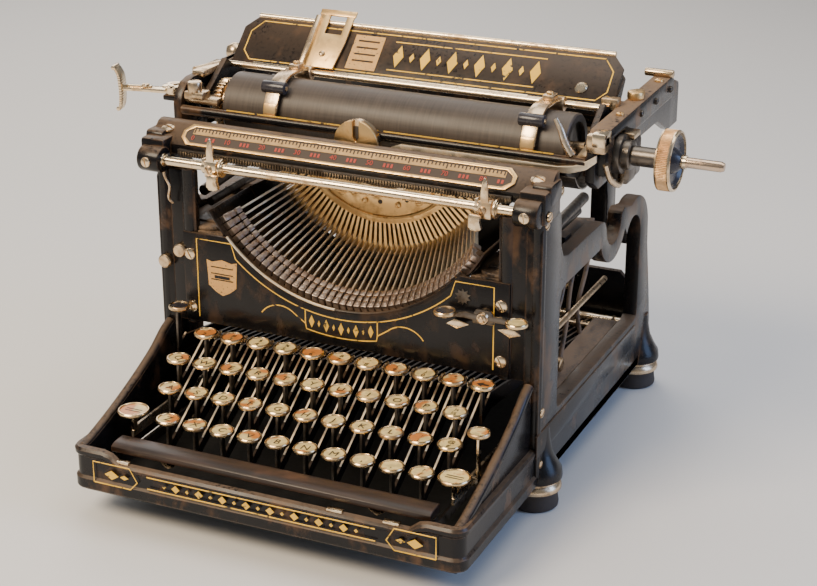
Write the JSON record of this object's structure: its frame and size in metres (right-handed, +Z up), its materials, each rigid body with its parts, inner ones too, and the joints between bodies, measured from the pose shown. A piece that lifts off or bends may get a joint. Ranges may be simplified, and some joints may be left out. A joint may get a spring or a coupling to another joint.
{
  "type": "typewriter",
  "caption": "Front-strike desk typewriter: cast frame, sliding carriage with platen and return lever, type basket, round keys on long levers, shift keys, space bar and margin stops.",
  "frame": {"origin": "centre of the four feet, on the surface that they stand on", "axes": "+X along the carriage's travel, to the typist's right; +Y to the machine's rear; +Z up"},
  "size_m": [0.4002, 0.349, 0.2727],
  "materials": {
    "black_enamel": "gloss japanned black, worn",
    "plate_enamel": "gloss japanned black with a gilt line",
    "carriage_enamel": "gloss japanned black, worn",
    "table_enamel": "gloss japanned black with a gilt line",
    "foot_rubber": "matt aged rubber",
    "nickel": "old nickel plate",
    "nickel_steel": "old nickel plate",
    "basket_brass": "tarnished plate",
    "platen_rubber": "satin hard rubber",
    "bar_wood": "dark varnished wood, worn",
    "key_steel": "plated lever with an ivory key top"
  },
  "bodies": {
    "frame_body": {"main_frame": "black_enamel", "front_plate": "plate_enamel", "feet": "foot_rubber", "fittings": "nickel", "type_basket": "basket_brass", "top_bar": "black_enamel"},
    "carriage": {"carriage_frame": "carriage_enamel"},
    "lift_frame": {"paper_table": "table_enamel"},
    "platen_roller": {"platen": "platen_rubber"},
    "return_lever": {"return_lever": "nickel_steel"},
    "paper_bail": {"paper_bail": "nickel_steel"},
    "shift_keys": {"shift_keys": "key_steel"},
    "space_bar": {"space_bar": "bar_wood"},
    "margin_stop_left": {"margin_stop_left": "nickel_steel"},
    "margin_stop_right": {"margin_stop_right": "nickel_steel"},
    "tab_rocker": {"tab_rocker": "nickel_steel"},
    "backspace_key": {"backspace_key": "key_steel"},
    "margin_release": {"margin_release": "key_steel"},
    "key_2": {"key_2": "key_steel"},
    "key_3": {"key_3": "key_steel"},
    "key_4": {"key_4": "key_steel"},
    "key_5": {"key_5": "key_steel"},
    "key_6": {"key_6": "key_steel"},
    "key_7": {"key_7": "key_steel"},
    "key_8": {"key_8": "key_steel"},
    "key_9": {"key_9": "key_steel"},
    "key_0": {"key_0": "key_steel"},
    "key_minus": {"key_minus": "key_steel"},
    "key_q": {"key_q": "key_steel"},
    "key_w": {"key_w": "key_steel"},
    "key_e": {"key_e": "key_steel"},
    "key_r": {"key_r": "key_steel"},
    "key_t": {"key_t": "key_steel"},
    "key_y": {"key_y": "key_steel"},
    "key_u": {"key_u": "key_steel"},
    "key_i": {"key_i": "key_steel"},
    "key_o": {"key_o": "key_steel"},
    "key_p": {"key_p": "key_steel"},
    "key_half": {"key_half": "key_steel"},
    "key_a": {"key_a": "key_steel"},
    "key_s": {"key_s": "key_steel"},
    "key_d": {"key_d": "key_steel"},
    "key_f": {"key_f": "key_steel"},
    "key_g": {"key_g": "key_steel"},
    "key_h": {"key_h": "key_steel"},
    "key_j": {"key_j": "key_steel"},
    "key_k": {"key_k": "key_steel"},
    "key_l": {"key_l": "key_steel"},
    "key_semicolon": {"key_semicolon": "key_steel"},
    "key_cent": {"key_cent": "key_steel"},
    "key_z": {"key_z": "key_steel"},
    "key_x": {"key_x": "key_steel"},
    "key_c": {"key_c": "key_steel"},
    "key_v": {"key_v": "key_steel"},
    "key_b": {"key_b": "key_steel"},
    "key_n": {"key_n": "key_steel"},
    "key_m": {"key_m": "key_steel"},
    "key_comma": {"key_comma": "key_steel"},
    "key_period": {"key_period": "key_steel"},
    "key_slash": {"key_slash": "key_steel"}
  },
  "joints": [
    {"name": "carriage_slide", "type": "slide", "parent": "frame_body", "child": "carriage", "axis": [1, 0, 0], "range_m": [-0.125, 0.11]},
    {"name": "platen_lift", "type": "slide", "parent": "carriage", "child": "lift_frame", "axis": [0, 0, 1], "range_m": [0, 0.006]},
    {"name": "platen_spin", "type": "hinge", "parent": "lift_frame", "child": "platen_roller", "pos_m": [0, -0.06, 0.222], "axis": [1, 0, 0], "continuous": true},
    {"name": "lever_swing", "type": "hinge", "parent": "carriage", "child": "return_lever", "pos_m": [-0.141, -0.074, 0.228], "axis": [0, 0, 1], "range_deg": [0, 18], "stiffness_Nm_per_rad": 0.4, "springref_deg": -17.19},
    {"name": "bail_swing", "type": "hinge", "parent": "lift_frame", "child": "paper_bail", "pos_m": [0, -0.036, 0.241], "axis": [1, 0, 0], "range_deg": [-22, 0], "stiffness_Nm_per_rad": 0.3, "springref_deg": 17.19},
    {"name": "shift_press", "type": "hinge", "parent": "frame_body", "child": "shift_keys", "pos_m": [0, 0.098, 0.045], "axis": [1, 0, 0], "range_deg": [0, 2], "stiffness_Nm_per_rad": 8, "springref_deg": -8.59},
    {"name": "space_press", "type": "hinge", "parent": "frame_body", "child": "space_bar", "pos_m": [0, 0.085, 0.045], "axis": [1, 0, 0], "range_deg": [0, 1.3], "stiffness_Nm_per_rad": 5, "springref_deg": -8.59},
    {"name": "margin_left_slide", "type": "slide", "parent": "frame_body", "child": "margin_stop_left", "axis": [1, 0, 0], "range_m": [-0.028, 0.075]},
    {"name": "margin_right_slide", "type": "slide", "parent": "frame_body", "child": "margin_stop_right", "axis": [1, 0, 0], "range_m": [-0.09, 0.01]},
    {"name": "tab_rock", "type": "hinge", "parent": "frame_body", "child": "tab_rocker", "pos_m": [0.0975, -0.126, 0.131], "axis": [0, 1, 0], "range_deg": [-8, 8], "stiffness_Nm_per_rad": 0.3},
    {"name": "backspace_key_press", "type": "hinge", "parent": "frame_body", "child": "backspace_key", "pos_m": [0, 0.085, 0.045], "axis": [1, 0, 0], "range_deg": [0, 2.8], "stiffness_Nm_per_rad": 1, "springref_deg": -11.46},
    {"name": "margin_release_press", "type": "hinge", "parent": "frame_body", "child": "margin_release", "pos_m": [0, 0.085, 0.045], "axis": [1, 0, 0], "range_deg": [0, 2.5], "stiffness_Nm_per_rad": 1, "springref_deg": -11.46},
    {"name": "press_2", "type": "hinge", "parent": "frame_body", "child": "key_2", "pos_m": [0, 0.085, 0.045], "axis": [1, 0, 0], "range_deg": [0, 2.8], "stiffness_Nm_per_rad": 1, "springref_deg": -11.46},
    {"name": "press_3", "type": "hinge", "parent": "frame_body", "child": "key_3", "pos_m": [0, 0.085, 0.045], "axis": [1, 0, 0], "range_deg": [0, 2.8], "stiffness_Nm_per_rad": 1, "springref_deg": -11.46},
    {"name": "press_4", "type": "hinge", "parent": "frame_body", "child": "key_4", "pos_m": [0, 0.085, 0.045], "axis": [1, 0, 0], "range_deg": [0, 2.8], "stiffness_Nm_per_rad": 1, "springref_deg": -11.46},
    {"name": "press_5", "type": "hinge", "parent": "frame_body", "child": "key_5", "pos_m": [0, 0.085, 0.045], "axis": [1, 0, 0], "range_deg": [0, 2.8], "stiffness_Nm_per_rad": 1, "springref_deg": -11.46},
    {"name": "press_6", "type": "hinge", "parent": "frame_body", "child": "key_6", "pos_m": [0, 0.085, 0.045], "axis": [1, 0, 0], "range_deg": [0, 2.8], "stiffness_Nm_per_rad": 1, "springref_deg": -11.46},
    {"name": "press_7", "type": "hinge", "parent": "frame_body", "child": "key_7", "pos_m": [0, 0.085, 0.045], "axis": [1, 0, 0], "range_deg": [0, 2.8], "stiffness_Nm_per_rad": 1, "springref_deg": -11.46},
    {"name": "press_8", "type": "hinge", "parent": "frame_body", "child": "key_8", "pos_m": [0, 0.085, 0.045], "axis": [1, 0, 0], "range_deg": [0, 2.8], "stiffness_Nm_per_rad": 1, "springref_deg": -11.46},
    {"name": "press_9", "type": "hinge", "parent": "frame_body", "child": "key_9", "pos_m": [0, 0.085, 0.045], "axis": [1, 0, 0], "range_deg": [0, 2.8], "stiffness_Nm_per_rad": 1, "springref_deg": -11.46},
    {"name": "press_0", "type": "hinge", "parent": "frame_body", "child": "key_0", "pos_m": [0, 0.085, 0.045], "axis": [1, 0, 0], "range_deg": [0, 2.8], "stiffness_Nm_per_rad": 1, "springref_deg": -11.46},
    {"name": "press_minus", "type": "hinge", "parent": "frame_body", "child": "key_minus", "pos_m": [0, 0.085, 0.045], "axis": [1, 0, 0], "range_deg": [0, 2.8], "stiffness_Nm_per_rad": 1, "springref_deg": -11.46},
    {"name": "press_q", "type": "hinge", "parent": "frame_body", "child": "key_q", "pos_m": [0, 0.085, 0.045], "axis": [1, 0, 0], "range_deg": [0, 2.8], "stiffness_Nm_per_rad": 1, "springref_deg": -11.46},
    {"name": "press_w", "type": "hinge", "parent": "frame_body", "child": "key_w", "pos_m": [0, 0.085, 0.045], "axis": [1, 0, 0], "range_deg": [0, 2.8], "stiffness_Nm_per_rad": 1, "springref_deg": -11.46},
    {"name": "press_e", "type": "hinge", "parent": "frame_body", "child": "key_e", "pos_m": [0, 0.085, 0.045], "axis": [1, 0, 0], "range_deg": [0, 2.8], "stiffness_Nm_per_rad": 1, "springref_deg": -11.46},
    {"name": "press_r", "type": "hinge", "parent": "frame_body", "child": "key_r", "pos_m": [0, 0.085, 0.045], "axis": [1, 0, 0], "range_deg": [0, 2.8], "stiffness_Nm_per_rad": 1, "springref_deg": -11.46},
    {"name": "press_t", "type": "hinge", "parent": "frame_body", "child": "key_t", "pos_m": [0, 0.085, 0.045], "axis": [1, 0, 0], "range_deg": [0, 2.8], "stiffness_Nm_per_rad": 1, "springref_deg": -11.46},
    {"name": "press_y", "type": "hinge", "parent": "frame_body", "child": "key_y", "pos_m": [0, 0.085, 0.045], "axis": [1, 0, 0], "range_deg": [0, 2.8], "stiffness_Nm_per_rad": 1, "springref_deg": -11.46},
    {"name": "press_u", "type": "hinge", "parent": "frame_body", "child": "key_u", "pos_m": [0, 0.085, 0.045], "axis": [1, 0, 0], "range_deg": [0, 2.8], "stiffness_Nm_per_rad": 1, "springref_deg": -11.46},
    {"name": "press_i", "type": "hinge", "parent": "frame_body", "child": "key_i", "pos_m": [0, 0.085, 0.045], "axis": [1, 0, 0], "range_deg": [0, 2.8], "stiffness_Nm_per_rad": 1, "springref_deg": -11.46},
    {"name": "press_o", "type": "hinge", "parent": "frame_body", "child": "key_o", "pos_m": [0, 0.085, 0.045], "axis": [1, 0, 0], "range_deg": [0, 2.8], "stiffness_Nm_per_rad": 1, "springref_deg": -11.46},
    {"name": "press_p", "type": "hinge", "parent": "frame_body", "child": "key_p", "pos_m": [0, 0.085, 0.045], "axis": [1, 0, 0], "range_deg": [0, 2.8], "stiffness_Nm_per_rad": 1, "springref_deg": -11.46},
    {"name": "press_half", "type": "hinge", "parent": "frame_body", "child": "key_half", "pos_m": [0, 0.085, 0.045], "axis": [1, 0, 0], "range_deg": [0, 2.8], "stiffness_Nm_per_rad": 1, "springref_deg": -11.46},
    {"name": "press_a", "type": "hinge", "parent": "frame_body", "child": "key_a", "pos_m": [0, 0.085, 0.045], "axis": [1, 0, 0], "range_deg": [0, 2.8], "stiffness_Nm_per_rad": 1, "springref_deg": -11.46},
    {"name": "press_s", "type": "hinge", "parent": "frame_body", "child": "key_s", "pos_m": [0, 0.085, 0.045], "axis": [1, 0, 0], "range_deg": [0, 2.8], "stiffness_Nm_per_rad": 1, "springref_deg": -11.46},
    {"name": "press_d", "type": "hinge", "parent": "frame_body", "child": "key_d", "pos_m": [0, 0.085, 0.045], "axis": [1, 0, 0], "range_deg": [0, 2.8], "stiffness_Nm_per_rad": 1, "springref_deg": -11.46},
    {"name": "press_f", "type": "hinge", "parent": "frame_body", "child": "key_f", "pos_m": [0, 0.085, 0.045], "axis": [1, 0, 0], "range_deg": [0, 2.8], "stiffness_Nm_per_rad": 1, "springref_deg": -11.46},
    {"name": "press_g", "type": "hinge", "parent": "frame_body", "child": "key_g", "pos_m": [0, 0.085, 0.045], "axis": [1, 0, 0], "range_deg": [0, 2.8], "stiffness_Nm_per_rad": 1, "springref_deg": -11.46},
    {"name": "press_h", "type": "hinge", "parent": "frame_body", "child": "key_h", "pos_m": [0, 0.085, 0.045], "axis": [1, 0, 0], "range_deg": [0, 2.8], "stiffness_Nm_per_rad": 1, "springref_deg": -11.46},
    {"name": "press_j", "type": "hinge", "parent": "frame_body", "child": "key_j", "pos_m": [0, 0.085, 0.045], "axis": [1, 0, 0], "range_deg": [0, 2.8], "stiffness_Nm_per_rad": 1, "springref_deg": -11.46},
    {"name": "press_k", "type": "hinge", "parent": "frame_body", "child": "key_k", "pos_m": [0, 0.085, 0.045], "axis": [1, 0, 0], "range_deg": [0, 2.8], "stiffness_Nm_per_rad": 1, "springref_deg": -11.46},
    {"name": "press_l", "type": "hinge", "parent": "frame_body", "child": "key_l", "pos_m": [0, 0.085, 0.045], "axis": [1, 0, 0], "range_deg": [0, 2.8], "stiffness_Nm_per_rad": 1, "springref_deg": -11.46},
    {"name": "press_semicolon", "type": "hinge", "parent": "frame_body", "child": "key_semicolon", "pos_m": [0, 0.085, 0.045], "axis": [1, 0, 0], "range_deg": [0, 2.8], "stiffness_Nm_per_rad": 1, "springref_deg": -11.46},
    {"name": "press_cent", "type": "hinge", "parent": "frame_body", "child": "key_cent", "pos_m": [0, 0.085, 0.045], "axis": [1, 0, 0], "range_deg": [0, 2.8], "stiffness_Nm_per_rad": 1, "springref_deg": -11.46},
    {"name": "press_z", "type": "hinge", "parent": "frame_body", "child": "key_z", "pos_m": [0, 0.085, 0.045], "axis": [1, 0, 0], "range_deg": [0, 2.8], "stiffness_Nm_per_rad": 1, "springref_deg": -11.46},
    {"name": "press_x", "type": "hinge", "parent": "frame_body", "child": "key_x", "pos_m": [0, 0.085, 0.045], "axis": [1, 0, 0], "range_deg": [0, 2.8], "stiffness_Nm_per_rad": 1, "springref_deg": -11.46},
    {"name": "press_c", "type": "hinge", "parent": "frame_body", "child": "key_c", "pos_m": [0, 0.085, 0.045], "axis": [1, 0, 0], "range_deg": [0, 2.8], "stiffness_Nm_per_rad": 1, "springref_deg": -11.46},
    {"name": "press_v", "type": "hinge", "parent": "frame_body", "child": "key_v", "pos_m": [0, 0.085, 0.045], "axis": [1, 0, 0], "range_deg": [0, 2.8], "stiffness_Nm_per_rad": 1, "springref_deg": -11.46},
    {"name": "press_b", "type": "hinge", "parent": "frame_body", "child": "key_b", "pos_m": [0, 0.085, 0.045], "axis": [1, 0, 0], "range_deg": [0, 2.8], "stiffness_Nm_per_rad": 1, "springref_deg": -11.46},
    {"name": "press_n", "type": "hinge", "parent": "frame_body", "child": "key_n", "pos_m": [0, 0.085, 0.045], "axis": [1, 0, 0], "range_deg": [0, 2.8], "stiffness_Nm_per_rad": 1, "springref_deg": -11.46},
    {"name": "press_m", "type": "hinge", "parent": "frame_body", "child": "key_m", "pos_m": [0, 0.085, 0.045], "axis": [1, 0, 0], "range_deg": [0, 2.8], "stiffness_Nm_per_rad": 1, "springref_deg": -11.46},
    {"name": "press_comma", "type": "hinge", "parent": "frame_body", "child": "key_comma", "pos_m": [0, 0.085, 0.045], "axis": [1, 0, 0], "range_deg": [0, 2.8], "stiffness_Nm_per_rad": 1, "springref_deg": -11.46},
    {"name": "press_period", "type": "hinge", "parent": "frame_body", "child": "key_period", "pos_m": [0, 0.085, 0.045], "axis": [1, 0, 0], "range_deg": [0, 2.8], "stiffness_Nm_per_rad": 1, "springref_deg": -11.46},
    {"name": "press_slash", "type": "hinge", "parent": "frame_body", "child": "key_slash", "pos_m": [0, 0.085, 0.045], "axis": [1, 0, 0], "range_deg": [0, 2.8], "stiffness_Nm_per_rad": 1, "springref_deg": -11.46}
  ],
  "couplings": [
    {"joint": "platen_lift", "follows": "shift_press", "m_per_rad": 0.1718}
  ]
}
